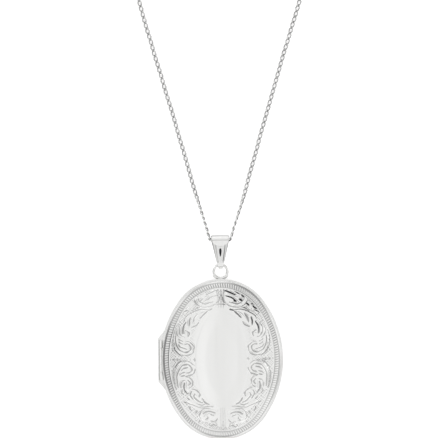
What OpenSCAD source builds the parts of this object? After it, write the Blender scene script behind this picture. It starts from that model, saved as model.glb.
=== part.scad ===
// Large oval picture locket, lying on its back, with the chain that runs through its bail.
// The origin is the centre of the flat of the back. +X is right as the cover is seen,
// +Y is towards the bail, +Z is out of the cover. Millimetres.

/* [Case] */
// half of the case's width
half_w = 15; // [12:0.5:18]
// half of the case's height, without ring and bail
half_h = 19.6; // [15:0.1:24]
// height of the seam above the flat of the back
seam_z = 3.5; // [2.8:0.1:5]
// how far the cover's crown stands above the seam
cover_h = 3.5; // [2.5:0.1:5]
// thickness of the pressed sheet
skin = 0.5; // [0.4:0.05:0.8]
// how far the cover's edge lies inside the case's outline
cover_edge = 0.45; // [0.2:0.05:1]
// height of the cover's straight wall
cover_wall = 1.1; // [0.8:0.1:1.6]
// height of the back's straight wall
back_wall = 1.6; // [1:0.1:2.4]
// distance from the outline at which the cover turns flat
cover_flat_from = 12; // [8:0.5:12]
// distance from the outline at which the back turns flat
back_flat_from = 8; // [5:0.5:11]
// gap between the cover and the back at the seam
seam_gap = 0.05; // [0.02:0.01:0.1]

/* [Hinge] */
// distance of the hinge's axis from the middle of the case
hinge_x = 14.9; // [14.5:0.05:15.2]
// outer radius of the hinge's knuckles
knuckle_r = 0.65; // [0.5:0.05:0.9]
// radius of the hinge's pin
pin_r = 0.25; // [0.15:0.05:0.4]
// length of the whole barrel
barrel_l = 9.8; // [6:0.2:14]
// number of knuckles, an odd number
knuckles = 5; // [3:2:7]
// gap between two knuckles along the pin
knuckle_gap = 0.05; // [0.02:0.01:0.1]
// running clearance of the pin in the cover's knuckles
pin_play = 0.03; // [0.01:0.01:0.08]

/* [Ring and bail] */
// middle radius of the ring on top of the case
ring_r = 1.68; // [1.2:0.02:2.5]
// radius of that ring's wire
ring_wire = 0.36; // [0.25:0.01:0.6]
// width of the bail where the chain runs through it
bail_w = 4.1; // [3:0.1:6]
// width of the bail at the ring
bail_foot_w = 1.6; // [1.2:0.1:2.5]
// thickness of the bail's strap
bail_t = 0.35; // [0.25:0.05:0.6]

/* [Chain and clasp] */
// width of the chain
chain_d = 1.2; // [0.8:0.1:2]
// middle radius of the bolt ring
clasp_r = 2.3; // [2:0.1:4]
// radius of the bolt ring's tube
clasp_tube = 0.7; // [0.5:0.05:1]
// angle of the bolt ring's mouth
clasp_mouth = 60; // [40:5:80]

/* [Hidden] */
$fn = 120;
far = 10;
// How far, and through what angle, a cutting shape runs past what it cuts.
cut_over = 1;
cut_turn = 1;

// The outline is an oval of four arcs that meet on lines of slope 3 to 4.
side_c = 2 * (half_h - half_w);
end_c = 1.5 * (half_h - half_w);
side_r = half_w + side_c;
end_r = half_h - end_c;
deep = half_w + 2 * cut_over;
crown_over = 0.02;

// Snap rim of the back and frame seat of the cover: distances from the outline.
lip_play = 0.06;
lip_t = 0.34;
rim_out = cover_edge + skin + lip_play;
rim_in = rim_out + lip_t;
rim_h = 0.5;
rim_ledge = 0.1;
rim_gap_half = 6.2;
shelf = 0.75;
shelf_t = 0.4;
back_shelf_in = 2.2;
seat_gap = 0.2;
seat_t = 0.35;
seat_out = rim_in + seat_gap;
seat_in = seat_out + seat_t;
seat_shelf_in = 2.5;
sheet_t = 0.2;
sheet_play = 0.05;
back_frame_in = 2.3;
cover_frame_in = 2.9;
frame_from = 0.1;

// Hinge.
knuckle_l = (barrel_l - (knuckles - 1) * knuckle_gap) / knuckles;
notch_play = 0.1;
pin_over = 0.3;
pin_l = barrel_l + 2 * pin_over;
hinge_side = 4;
shoulder_end = 7.2;
shoulder_low = 0.55;
shoulder_high = 0.4;
shoulder_edge = 0.4;
shoulder_slope = 1;
shoulder_in = 2;
bearer_half = 5.5;
bearer_t = 0.5;
bearer_from = 0.05;
bearer_to = 0.65;

// Catch: a fine bead on the snap rim, opposite the hinge.
bead_r = 0.1;
bead_l = 2;
bead_z = seam_z + rim_h / 2;
bead_play = 0.04;
bead_groove_l = bead_l + 0.4;

// Ring and bail: the bail's side view is a strap from the ring's wire to the chain.
ring_up = 1.85;
ring_y = half_h + ring_up;
ring_z = 2.6;
wire_y = ring_y + ring_r;
eye_play = 0.29;
eye_drop = 0.08;
eye_r = ring_wire + eye_play;
eye_at = [wire_y - eye_drop, ring_z];
roll_r = 1.2;
roll_at = [28.75, 1.65];
bail_low_y = wire_y - 1.2;
bail_high_y = roll_at[0] + roll_r + bail_t + 0.1;
tangent_ease = 0.003;

// Chain: the route of each strand, from the middle of the bail to its coil.
cord_sides = 8;
coil_r = 6 * chain_d;
coil_y = 98.5;
left_coil = [-12.3, coil_y];
right_coil = [13.8, coil_y];
coil_h = 2 * chain_d;
left_route = [
    [0, 28.4, 1.6], [-0.9, 28.5, 1.6], [-1.7, 28.8, 1.6], [-2.4, 29.3, 1.5], [-2.8, 30.1, 1.4],
    [-3, 31, 1.3], [-3.6, 33, 1], [-4.5, 36, 0.7], [-5.4, 39, 0.6], [-6.3, 42, 0.6],
    [-7.1, 45, 0.6], [-7.9, 48, 0.6], [-8.7, 51, 0.6], [-9.6, 54, 0.6], [-10.4, 57, 0.6],
    [-11.2, 60, 0.6], [-12.1, 63, 0.6], [-13, 66, 0.6], [-13.8, 69, 0.6], [-14.7, 72, 0.6],
    [-15.6, 75, 0.6], [-16.4, 78, 0.6], [-17.3, 81, 0.6], [-18.1, 84, 0.6], [-18.9, 87, 0.6],
    [-19.5, 90, 0.6], [-19.9, 93, 0.6], [-20.1, 96, 0.6], [-20.1, 98.5, 0.6]
];
right_route = [
    [0, 28.4, 1.6], [0.9, 28.5, 1.6], [1.7, 28.8, 1.6], [2.4, 29.3, 1.5], [2.8, 30.1, 1.4],
    [3, 31, 1.3], [3.7, 33, 1], [4.7, 36, 0.7], [5.7, 39, 0.6], [6.6, 42, 0.6],
    [7.4, 45, 0.6], [8.3, 48, 0.6], [9.2, 51, 0.6], [10, 54, 0.6], [10.9, 57, 0.6],
    [11.8, 60, 0.6], [12.7, 63, 0.6], [13.6, 66, 0.6], [14.5, 69, 0.6], [15.4, 72, 0.6],
    [16.3, 75, 0.6], [17.3, 78, 0.6], [18.2, 81, 0.6], [19.2, 84, 0.6], [20.1, 87, 0.6],
    [20.9, 90, 0.6], [21.4, 93, 0.6], [21.6, 96, 0.6], [21.6, 98.5, 0.6]
];
left_tail = [[-12.3, 106.3, 1.8], [-9.3, 106.3, 1.8], [-6.6, 106.4, 1.2], [-3.7, 106.6, 0.7]];
right_tail = [[13.8, 106.3, 1.8], [11.4, 106.3, 1.7], [9.6, 106.4, 1.1], [7.9, 106.5, 0.6]];

// Bolt ring, angles from its +X: the mouth, the thumb knob's travel and the spring behind it.
clasp_at = [1, 106.6, clasp_tube];
clasp_bore = 0.48;
bolt_r = 0.42;
spring_wall = 0.14;
mouth_from = 20;
mouth_to = mouth_from + clasp_mouth;
bolt_enters = 4;
bolt_end = 140;
knob_at = 90;
bolt_travel = 58;
spring_end = 220;
knob_r = 0.17;
knob_out = 1.05;
knob_ball = 0.3;
slot_half = 0.22;
slot_play = 5;
socket = 8;
clasp_eye_r = 0.55;
clasp_eye_wire = 0.2;
link_ring_r = 0.75;
link_ring_wire = 0.17;
link_ring_at = [-3.25, 106.6, 0.95];
end_ring_r = 1.4;
end_ring_wire = 0.35;
end_ring_at = [6.6, 106.5, end_ring_wire];

silver = [0.78, 0.78, 0.77];
dark_silver = [0.62, 0.62, 0.62];
clear = [0.8, 0.9, 1, 0.4];
paper = [0.93, 0.91, 0.86];

// Oval tools: a section has x = 0 on the case's outline and x < 0 inside it.
module round_the_oval() {
    for (s = [-1, 1]) {
        translate([-s * side_c, 0, 0]) intersection() {
            rotate([0, 0, s > 0 ? 180 : 0]) rotate_extrude() translate([side_r, 0]) children();
            wedge([4 * far * s, 3 * far], [4 * far * s, -3 * far]);
        }
        translate([0, s * end_c, 0]) intersection() {
            rotate_extrude() intersection() {
                translate([end_r, 0]) children();
                translate([0, -far]) square(2 * far);
            }
            wedge([4 * far, 3 * far * s], [-4 * far, 3 * far * s]);
        }
    }
}

module wedge(a, b) {
    translate([0, 0, -far]) linear_extrude(2 * far) polygon([[0, 0], a, b]);
}

module strip(from, to, low, high) {
    translate([-to, low]) square([to - from, high - low]);
}

module oval_ring(from, to, low, high) {
    round_the_oval() strip(from, to, low, high);
}

module oval_plate(inset, low, high) {
    oval_ring(inset, deep, low, high);
}

// Filled section of a pan with a straight wall and an arched crown that ends in a flat.
module pan(edge, wall, height, flat_from, inside, base) {
    run = flat_from - edge;
    rise = height + crown_over - wall;
    crown_r = (run * run + rise * rise) / (2 * rise);
    intersection() {
        strip(edge + inside, deep, base, height - inside);
        union() {
            translate([-flat_from, height + crown_over - crown_r]) circle(crown_r - inside);
            strip(flat_from, deep, base, height);
        }
    }
}

module cover_pan(inside, base) {
    pan(cover_edge, cover_wall, cover_h, cover_flat_from, inside, base);
}

module back_pan(inside, base) {
    pan(0, back_wall, seam_z, back_flat_from, inside, base);
}

module above_seam() {
    translate([0, 0, seam_z]) children();
}

module below_seam() {
    translate([0, 0, seam_z]) mirror([0, 0, 1]) children();
}

// Cylinders along the hinge's axis, one for each knuckle whose number leaves `rest` over 2.
module knuckle_rods(rest, r, longer) {
    for (i = [rest:2:knuckles - 1]) {
        y = -barrel_l / 2 + knuckle_l / 2 + i * (knuckle_l + knuckle_gap);
        hinge_rod(y, r, knuckle_l + longer);
    }
}

module hinge_rod(y, r, l) {
    translate([-hinge_x, y, seam_z]) rotate([90, 0, 0]) cylinder(r = r, h = l, center = true);
}

// Room for the barrel: a seat for the half's own knuckles, play round the other half's.
module barrel_cut(own) {
    knuckle_rods(own, knuckle_r, 0);
    knuckle_rods(1 - own, knuckle_r + notch_play, 2 * knuckle_gap);
}

// Back half.
module back_shell() color(silver) difference() {
    below_seam() round_the_oval() difference() {
        back_pan(0, seam_gap);
        back_pan(skin, -cut_over);
    }
    barrel_cut(0);
}

module back_snap_rim() color(silver) difference() {
    below_seam() round_the_oval() polygon([
        [-skin, rim_ledge], [-rim_out, rim_ledge], [-rim_out, -rim_h], [-rim_in, -rim_h],
        [-rim_in, shelf], [-back_shelf_in, shelf],
        [-back_shelf_in, shelf + shelf_t], [-skin, shelf + shelf_t]
    ]);
    barrel_cut(0);
    translate([-half_w - cut_over, -rim_gap_half, seam_z - rim_ledge])
        cube([hinge_side, 2 * rim_gap_half, rim_h + cut_over]);
}

module back_photo_card() color(paper) below_seam()
    oval_plate(rim_in + sheet_play, shelf - sheet_t, shelf);

module back_window() color(clear) below_seam()
    oval_plate(rim_in + sheet_play, shelf - 2 * sheet_t, shelf - sheet_t);

module back_photo_frame() color(silver) below_seam()
    oval_ring(rim_in, back_frame_in, frame_from, shelf - 2 * sheet_t);

// Cover half.
module cover_shell() color(silver) difference() {
    above_seam() round_the_oval() difference() {
        cover_pan(0, 0);
        cover_pan(skin, -cut_over);
    }
    barrel_cut(1);
    translate([half_w - rim_out, 0, bead_z]) rotate([90, 0, 0])
        cylinder(r = bead_r + bead_play, h = bead_groove_l, center = true);
}

module cover_frame_seat() color(silver) above_seam() round_the_oval() intersection() {
    polygon([
        [-seat_out, frame_from], [-seat_in, frame_from], [-seat_in, shelf],
        [-seat_shelf_in, shelf], [-seat_shelf_in, cover_h], [-seat_out, cover_h]
    ]);
    cover_pan(skin, 0);
}

module cover_photo_card() color(paper) above_seam()
    oval_plate(seat_in + sheet_play, shelf - sheet_t, shelf);

module cover_window() color(clear) above_seam()
    oval_plate(seat_in + sheet_play, shelf - 2 * sheet_t, shelf - sheet_t);

module cover_photo_frame() color(silver) above_seam()
    oval_ring(seat_in, cover_frame_in, frame_from, shelf - 2 * sheet_t);

// Hinge and catch.
module hinge_knuckles_back() color(silver) difference() {
    knuckle_rods(0, knuckle_r, 0);
    hinge_rod(0, pin_r, barrel_l + cut_over);
}

module hinge_knuckles_cover() color(silver) difference() {
    knuckle_rods(1, knuckle_r, 0);
    hinge_rod(0, pin_r + pin_play, barrel_l + cut_over);
}

module hinge_pin() color(dark_silver) hinge_rod(0, pin_r, pin_l);

module hinge_shoulders() color(silver) difference() {
    for (s = [-1, 1]) translate([0, 0, seam_z - shoulder_low])
        linear_extrude(shoulder_low + shoulder_high) polygon([
            [-hinge_x - knuckle_r, s * (barrel_l / 2 + knuckle_gap)],
            [-hinge_x - knuckle_r, s * (barrel_l / 2 + shoulder_edge)],
            [-hinge_x + shoulder_slope, s * shoulder_end],
            [-hinge_x + shoulder_in, s * shoulder_end],
            [-hinge_x + shoulder_in, s * (barrel_l / 2 + knuckle_gap)]
        ]);
    oval_plate(0, 0, seam_z + shoulder_high + cut_over);
    hinge_rod(0, pin_r, pin_l);
}

module hinge_bearer() color(silver) intersection() {
    above_seam()
        oval_ring(cover_edge + skin, cover_edge + skin + bearer_t, bearer_from, bearer_to);
    translate([-half_w - cut_over, -bearer_half, seam_z])
        cube([hinge_side, 2 * bearer_half, cover_h]);
}

module catch_bead() color(silver) difference() {
    translate([half_w - rim_out, 0, bead_z]) rotate([90, 0, 0])
        cylinder(r = bead_r, h = bead_l, center = true);
    oval_plate(rim_out, 0, 2 * seam_z);
}

// Ring and bail.
module torus(r, wire) {
    rotate_extrude() translate([r, 0]) circle(wire);
}

module suspension_ring() color(silver) difference() {
    translate([0, ring_y, ring_z]) torus(ring_r, ring_wire);
    oval_plate(0, 0, seam_z);
}

// Filled teardrop round two circles of the side view, as wide as the bail.
// Its straights run a hair inside the circles' tangents.
module teardrop(a, ra, b, rb) {
    along = (b - a) / norm(b - a);
    across = [-along[1], along[0]];
    lean = (ra - rb) / norm(b - a);
    function touch(s) = lean * along + s * sqrt(1 - lean * lean) * across;
    rotate([90, 0, 90]) {
        translate(a) cylinder(r = ra, h = bail_w, center = true);
        translate(b) cylinder(r = rb, h = bail_w, center = true);
        linear_extrude(bail_w, center = true) polygon([
            a + (ra - tangent_ease) * touch(1), b + (rb - tangent_ease) * touch(1),
            b + (rb - tangent_ease) * touch(-1), a + (ra - tangent_ease) * touch(-1)
        ]);
    }
}

module bail() color(silver) intersection() {
    difference() {
        teardrop(eye_at, eye_r + bail_t, roll_at, roll_r + bail_t);
        teardrop(eye_at, eye_r, roll_at, roll_r);
    }
    linear_extrude(far) polygon([
        [-bail_foot_w / 2, bail_low_y], [bail_foot_w / 2, bail_low_y],
        [bail_w / 2, bail_high_y], [-bail_w / 2, bail_high_y]
    ]);
}

// Chain: a plain tube along a route, and a plain ring for each coil.
function corners(route, i) =
    let (
        from = route[max(i - 1, 0)],
        to = route[min(i + 1, len(route) - 1)],
        along = (to - from) / norm(to - from),
        level = cross([0, 0, 1], along),
        side = level / norm(level),
        up = cross(along, side)
    )
    [for (k = [0:cord_sides - 1]) let (a = 360 * k / cord_sides)
        route[i] + chain_d / 2 * (cos(a) * side + sin(a) * up)];

module tube(route) {
    last = len(route) - 1;
    polyhedron(
        [for (i = [0:last]) each corners(route, i)],
        concat(
            [[for (k = [0:cord_sides - 1]) k]],
            [for (i = [0:last - 1], k = [0:cord_sides - 1])
                let (a = i * cord_sides + k, b = i * cord_sides + (k + 1) % cord_sides)
                [a, a + cord_sides, b + cord_sides, b]],
            [[for (k = [cord_sides - 1:-1:0]) last * cord_sides + k]]
        )
    );
}

module chain_left() color(dark_silver) {
    tube(left_route);
    tube(left_tail);
}

module chain_right() color(dark_silver) {
    tube(right_route);
    tube(right_tail);
}

module coil(at) {
    translate(at) rotate_extrude() translate([coil_r - chain_d, 0]) square([2 * chain_d, coil_h]);
}

module coil_left() color(dark_silver) coil(left_coil);

module coil_right() color(dark_silver) coil(right_coil);

// Bolt ring: a tube with a mouth, which a sprung bolt closes.
module arc(from, to, r, wire) {
    rotate([0, 0, from]) rotate_extrude(angle = to - from) translate([r, 0]) circle(wire);
}

module clasp_body() color(silver) translate(clasp_at) difference() {
    arc(mouth_to, 360 + mouth_from, clasp_r, clasp_tube);
    arc(mouth_to - cut_turn, spring_end, clasp_r, clasp_bore);
    arc(360 + mouth_from - socket, 360 + mouth_from + cut_turn, clasp_r, clasp_bore);
    rotate([0, 0, knob_at - slot_play]) rotate_extrude(angle = bolt_travel + 2 * slot_play)
        translate([clasp_r, -slot_half]) square([far, 2 * slot_half]);
}

module clasp_bolt() color(dark_silver) translate(clasp_at) {
    arc(mouth_from - bolt_enters, bolt_end, clasp_r, bolt_r);
    rotate([0, 0, knob_at]) {
        translate([clasp_r, 0, 0]) rotate([0, 90, 0]) cylinder(r = knob_r, h = knob_out);
        translate([clasp_r + knob_out, 0, 0]) sphere(knob_ball);
    }
}

module clasp_spring() color(dark_silver) translate(clasp_at) difference() {
    arc(bolt_end, spring_end, clasp_r, bolt_r);
    arc(bolt_end - cut_turn, spring_end + cut_turn, clasp_r, bolt_r - spring_wall);
}

module clasp_eye() color(silver) difference() {
    translate(clasp_at - [clasp_r + clasp_tube + clasp_eye_r, 0, 0])
        torus(clasp_eye_r, clasp_eye_wire);
    translate(clasp_at) torus(clasp_r, clasp_tube);
}

module clasp_link() color(silver)
    translate(link_ring_at) rotate([90, 0, 0]) torus(link_ring_r, link_ring_wire);

module end_ring() color(silver) translate(end_ring_at) torus(end_ring_r, end_ring_wire);

back_shell();
back_snap_rim();
back_photo_card();
back_window();
back_photo_frame();
cover_shell();
cover_frame_seat();
cover_photo_card();
cover_window();
cover_photo_frame();
hinge_knuckles_back();
hinge_knuckles_cover();
hinge_pin();
hinge_shoulders();
hinge_bearer();
catch_bead();
suspension_ring();
bail();
chain_left();
chain_right();
coil_left();
coil_right();
clasp_body();
clasp_bolt();
clasp_spring();
clasp_eye();
clasp_link();
end_ring();
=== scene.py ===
"""Large oval engraved silver locket lying on its back, on its curb chain. Metres, in the CAD frame."""

import math

import bpy
import numpy as np
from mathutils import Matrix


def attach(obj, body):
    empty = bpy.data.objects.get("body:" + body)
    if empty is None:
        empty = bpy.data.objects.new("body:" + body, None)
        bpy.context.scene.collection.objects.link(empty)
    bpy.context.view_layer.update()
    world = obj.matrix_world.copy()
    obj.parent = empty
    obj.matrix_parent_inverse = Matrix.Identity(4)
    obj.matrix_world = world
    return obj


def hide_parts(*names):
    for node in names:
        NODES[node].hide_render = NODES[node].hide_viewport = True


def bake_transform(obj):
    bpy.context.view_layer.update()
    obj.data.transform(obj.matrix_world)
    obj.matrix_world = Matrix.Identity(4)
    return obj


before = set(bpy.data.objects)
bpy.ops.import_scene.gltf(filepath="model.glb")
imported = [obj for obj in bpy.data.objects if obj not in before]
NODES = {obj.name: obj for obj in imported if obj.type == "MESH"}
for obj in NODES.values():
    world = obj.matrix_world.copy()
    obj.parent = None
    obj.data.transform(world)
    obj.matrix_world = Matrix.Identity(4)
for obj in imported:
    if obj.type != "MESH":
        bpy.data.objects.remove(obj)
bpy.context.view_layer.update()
MM = 0.001
UP = np.array([0, 0, 1])

# ---------------------------------------------------------------- camera
# The width of floor that is seen, the place in its middle, and the camera's height and roll.
VIEW_WIDTH = 107.6 * MM
VIEW_AT = (-0.67 * MM, 34.25 * MM)
CAMERA_UP = 0.6
CAMERA_ROLL = math.radians(-0.75)
SENSOR = 36


def make_camera():
    """A camera straight above the locket, as in the photograph."""
    data = bpy.data.cameras.new("camera")
    data.sensor_width = SENSOR
    data.lens = SENSOR * CAMERA_UP / VIEW_WIDTH
    data.clip_start = 0.01
    data.clip_end = 10
    camera = bpy.data.objects.new("camera", data)
    bpy.context.scene.collection.objects.link(camera)
    roll_cos, roll_sin = math.cos(CAMERA_ROLL), math.sin(CAMERA_ROLL)
    x, y = VIEW_AT
    camera.location = (x * roll_cos - y * roll_sin, x * roll_sin + y * roll_cos, CAMERA_UP)
    camera.rotation_euler = (0, 0, CAMERA_ROLL)
    bpy.context.scene.camera = camera


# ---------------------------------------------------------------- mesh helpers
def add_mesh(name, points, faces, body=None, replaces=(), smooth=True):
    """A piece from points in metres, with its body and the CAD nodes it stands for."""
    mesh = bpy.data.meshes.new(name)
    mesh.from_pydata([tuple(p) for p in np.asarray(points).tolist()], [], faces)
    mesh.validate()
    if smooth:
        mesh.shade_smooth()
    made = bpy.data.objects.new(name, mesh)
    bpy.context.scene.collection.objects.link(made)
    if body:
        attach(made, body)
    if replaces:
        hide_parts(*replaces)
    return made


def mark_darkening(made, values):
    """Stores how dark each vertex is to be painted, 0 to 1: on silver for tarnish and painted shade, on the
    cards for their yellowed edge.
    """
    stored = made.data.attributes.new("darkening", "FLOAT", "POINT")
    stored.data.foreach_set("value", np.asarray(values, float).ravel())


def grid_faces(rows, columns, ring=False):
    """Quads between rows of points, each row closed on itself. In a ring the last row joins the first."""
    faces = []
    for i in range(rows if ring else rows - 1):
        a, b = i * columns, (i + 1) % rows * columns
        for j in range(columns):
            k = (j + 1) % columns
            faces.append((a + j, a + k, b + k, b + j))
    return faces


def tube_faces(rows, columns):
    """The faces of a tube with both its ends closed."""
    last = (rows - 1) * columns
    faces = grid_faces(rows, columns)
    faces.append(tuple(range(columns))[::-1])
    faces.append(tuple(last + j for j in range(columns)))
    return faces


def fan_faces(rows, columns, middle):
    """Triangles from the last row of a grid to one point in its middle."""
    last = (rows - 1) * columns
    return [(last + j, last + (j + 1) % columns, middle) for j in range(columns)]


def rise(x, low, high):
    """0 below low, 1 above high, and a smooth step between them."""
    t = np.clip((x - low) / (high - low), 0, 1)
    return t * t * (3 - 2 * t)


def hump(x, centre, half):
    """1 at the centre, falling to 0 at half its width on both sides."""
    return np.clip(1 - ((x - centre) / half) ** 2, 0, 1)


def curve_through(points, per_span=6):
    """A smooth line through the points (Catmull-Rom)."""
    p = np.array(points, float)
    ends = np.vstack([2 * p[0] - p[1], p, 2 * p[-1] - p[-2]])
    line = []
    for i in range(1, len(ends) - 2):
        a, b, c, d = ends[i - 1:i + 3]
        bend = 2 * a - 5 * b + 4 * c - d
        twist = 3 * b - a - 3 * c + d
        for k in range(per_span):
            t = k / per_span
            line.append(0.5 * (2 * b + (c - a) * t + bend * t * t + twist * t ** 3))
    line.append(p[-1])
    return np.array(line)


# ---------------------------------------------------------------- chain
CHAIN_WIDTH = 1.28 * MM
CHAIN_PITCH = 1.42 * MM
# The radius of a link's wire, and how far its filed faces are from its middle.
LINK_WIRE, LINK_FLAT = 0.19 * MM, 0.27 * MM
LINK_TWIST, LINK_WOBBLE = math.radians(45), math.radians(5)
# How high the filed face of a link that lies flat is above the floor, and any other link at least.
FLAT_ABOVE_FLOOR, LEAST_ABOVE_FLOOR = 0.1 * MM, 0.01 * MM
# The cords' own numbers are in mm, like their routes.
CORD_RADIUS = 0.6
COIL_OUT, COIL_IN = 7.8, 6.6
COIL_Y = 98.5
LEFT_COIL_X, RIGHT_COIL_X = -12.3, 13.8
COIL_TURNS, COIL_STEPS = 3.25, 24
# The turns during which a coil goes to its inner radius, up to its second layer, and out again. They come
# from a search for coils that the table check reads well, and there the chain runs through itself a little.
COIL_INWARD, COIL_UP, COIL_OUTWARD = (0.7, 0.95), (1.8, 2.05), (2.7, 2.95)
# The lengths over which the chain turns flat after the bail, and on edge before its coil.
FLAT_FROM_BAIL, ON_EDGE_FOR_COIL = (9 * MM, 19 * MM), (62 * MM, 76 * MM)

LEFT_ROUTE = [
    (0, 28.4, 1.6), (-0.9, 28.5, 1.6), (-1.7, 28.8, 1.6), (-2.4, 29.3, 1.5), (-2.8, 30.1, 1.4),
    (-3, 31, 1.3), (-3.6, 33, 1), (-4.5, 36, 0.7), (-5.4, 39, 0.6), (-6.3, 42, 0.6),
    (-7.1, 45, 0.6), (-7.9, 48, 0.6), (-8.7, 51, 0.6), (-9.6, 54, 0.6), (-10.4, 57, 0.6),
    (-11.2, 60, 0.6), (-12.1, 63, 0.6), (-13, 66, 0.6), (-13.8, 69, 0.6), (-14.7, 72, 0.6),
    (-15.6, 75, 0.6), (-16.4, 78, 0.6), (-17.3, 81, 0.6), (-18.1, 84, 0.6), (-18.9, 87, 0.6),
    (-19.5, 90, 0.6), (-19.9, 93, 0.6), (-20.1, 96, 0.6), (-20.1, 98.5, 0.6),
]
RIGHT_ROUTE = [
    (0, 28.4, 1.6), (0.9, 28.5, 1.6), (1.7, 28.8, 1.6), (2.4, 29.3, 1.5), (2.8, 30.1, 1.4),
    (3, 31, 1.3), (3.7, 33, 1), (4.7, 36, 0.7), (5.7, 39, 0.6), (6.6, 42, 0.6),
    (7.4, 45, 0.6), (8.3, 48, 0.6), (9.2, 51, 0.6), (10, 54, 0.6), (10.9, 57, 0.6),
    (11.8, 60, 0.6), (12.7, 63, 0.6), (13.6, 66, 0.6), (14.5, 69, 0.6), (15.4, 72, 0.6),
    (16.3, 75, 0.6), (17.3, 78, 0.6), (18.2, 81, 0.6), (19.2, 84, 0.6), (20.1, 87, 0.6),
    (20.9, 90, 0.6), (21.4, 93, 0.6), (21.6, 96, 0.6), (21.6, 98.5, 0.6),
]
LEFT_TAIL = [(-9.3, 106.3, 1.8), (-6.6, 106.4, 1.2), (-3.9, 106.6, 0.7)]
RIGHT_TAIL = [(11.4, 106.3, 1.7), (9.6, 106.4, 1.1), (7.8, 106.5, 0.5)]


def coil_points(side, centre_x):
    """The turns of a coil: one outside and one inside, then one inside and one outside on top of them."""
    points = []
    for i in range(1, int(COIL_TURNS * COIL_STEPS) + 1):
        turn = i / COIL_STEPS
        inward = rise(turn, *COIL_INWARD) - rise(turn, *COIL_OUTWARD)
        radius = COIL_OUT - (COIL_OUT - COIL_IN) * inward
        z = CORD_RADIUS * (1 + 2 * rise(turn, *COIL_UP))
        angle = math.radians(180 - 360 * turn)
        x = centre_x + side * radius * math.cos(angle)
        points.append((x, COIL_Y + radius * math.sin(angle), z))
    return points


def along_line(line):
    """How far along the line each of its points is."""
    steps = np.linalg.norm(np.diff(line, axis=0), axis=1)
    return np.concatenate([[0], np.cumsum(steps)])


def point_at(line, lengths, s):
    """The point on the line at the distance s along it."""
    return np.array([np.interp(s, lengths, line[:, k]) for k in range(3)])


def link_shape():
    """One curb link in its own frame: x along the chain, y across its face, twisted and filed flat."""
    around, across = 26, 8
    play = 0.985
    half_long = (CHAIN_PITCH + 2 * LINK_WIRE) / 2 * play
    half_wide = CHAIN_WIDTH / 2 - LINK_WIRE
    points, darkening = [], []
    for i in range(around):
        a = 2 * math.pi * i / around
        centre = np.array([half_long * math.cos(a), half_wide * math.sin(a), 0])
        tangent = np.array([-half_long * math.sin(a), half_wide * math.cos(a), 0])
        out = np.cross(tangent / np.linalg.norm(tangent), UP)
        for j in range(across):
            b = 2 * math.pi * j / across
            point = centre + LINK_WIRE * (math.cos(b) * out + math.sin(b) * UP)
            twist = -LINK_TWIST * point[0] / half_long
            y, z = point[1], point[2]
            point[1] = y * math.cos(twist) - z * math.sin(twist)
            point[2] = y * math.sin(twist) + z * math.cos(twist)
            point[2] = min(max(point[2], -LINK_FLAT), LINK_FLAT)
            points.append(point)
            # Painted dark: the inner side of the wire, towards the link's hole, and the link's ends, for
            # tarnish and for painted shade where the links cross.
            at_end = rise(abs(math.cos(a)), 0.72, 0.95)
            inside = max(-math.cos(b), 0) ** 2
            darkening.append(min(0.03 + 1.2 * inside + 0.5 * at_end, 1))
    return np.array(points), grid_faces(around, across, ring=True), darkening


def chain_roll(s, total):
    """How far the chain is turned on edge, in radians, at the distance s along it.

    It leaves the bail nearly on edge, lies flat, is on edge again in the coil, and flat at its end."""
    at_bail = 0.8 - 0.8 * rise(s, *FLAT_FROM_BAIL)
    in_coil = rise(s, *ON_EDGE_FOR_COIL) - rise(s, total - 8 * MM, total - 2 * MM)
    return math.radians(90) * max(at_bail, in_coil)


def make_chain(name, line, nodes):
    """Curb links all along the line. Where the chain is turned flat it lies on the floor."""
    lengths = along_line(line)
    total = lengths[-1]
    shape, shape_faces, darkening = link_shape()
    count = int((total - CHAIN_PITCH / 2) / CHAIN_PITCH)
    points, faces = [], []
    wobble = np.random.default_rng(7).normal(0, 1, (count, 3))[:, 0]
    for i, lean in enumerate([*wobble, 0]):
        s = (i + 0.5) * CHAIN_PITCH
        at = point_at(line, lengths, s)
        tangent = point_at(line, lengths, s + 0.5 * MM) - point_at(line, lengths, s - 0.5 * MM)
        tangent /= np.linalg.norm(tangent)
        side = np.cross(UP, tangent)
        side /= np.linalg.norm(side)
        up = np.cross(tangent, side)
        roll = chain_roll(s, total) + LINK_WOBBLE * lean
        across = math.cos(roll) * side + math.sin(roll) * up
        normal = -math.sin(roll) * side + math.cos(roll) * up
        flatness = abs(math.cos(roll))
        at[2] -= flatness * (CORD_RADIUS * MM - LINK_FLAT - FLAT_ABOVE_FLOOR)
        start = len(points) * len(shape)
        link = at + shape[:, :1] * tangent + shape[:, 1:2] * across + shape[:, 2:] * normal
        link[:, 2] += max(LEAST_ABOVE_FLOOR - link[:, 2].min(), 0)
        points.append(link)
        faces += [tuple(start + v for v in face) for face in shape_faces]
    made = add_mesh(name, np.vstack(points), faces, "bail", nodes)
    mark_darkening(made, darkening * len(points))
    return made, total


def make_cords(spring):
    """Both halves of the chain: the left one ends in the clasp and its spring, the right one in a ring."""
    clasp = [NODES[node] for node in ("clasp_body", "clasp_bolt", "clasp_eye", "clasp_link")]
    for name, route, coil, tail, nodes, pieces in (
        ("chain_links_left", LEFT_ROUTE, coil_points(1, LEFT_COIL_X), LEFT_TAIL,
            ("chain_left", "coil_left"), [*clasp, spring]),
        ("chain_links_right", RIGHT_ROUTE, coil_points(-1, RIGHT_COIL_X), RIGHT_TAIL,
            ("chain_right", "coil_right"), [NODES["end_ring"]]),
    ):
        line = curve_through(route + coil + tail) * MM
        made, total = make_chain(name, line, nodes)
        paint(made, CHAIN_SILVER)
        print("CHAIN", name, round(total / MM, 1), "mm")


# ---------------------------------------------------------------- materials
def new_material(name):
    """A node material, with its nodes, links and main shader."""
    material = bpy.data.materials.new(name)
    material.use_nodes = True
    nodes, links = material.node_tree.nodes, material.node_tree.links
    return material, nodes, links, nodes["Principled BSDF"]


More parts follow.
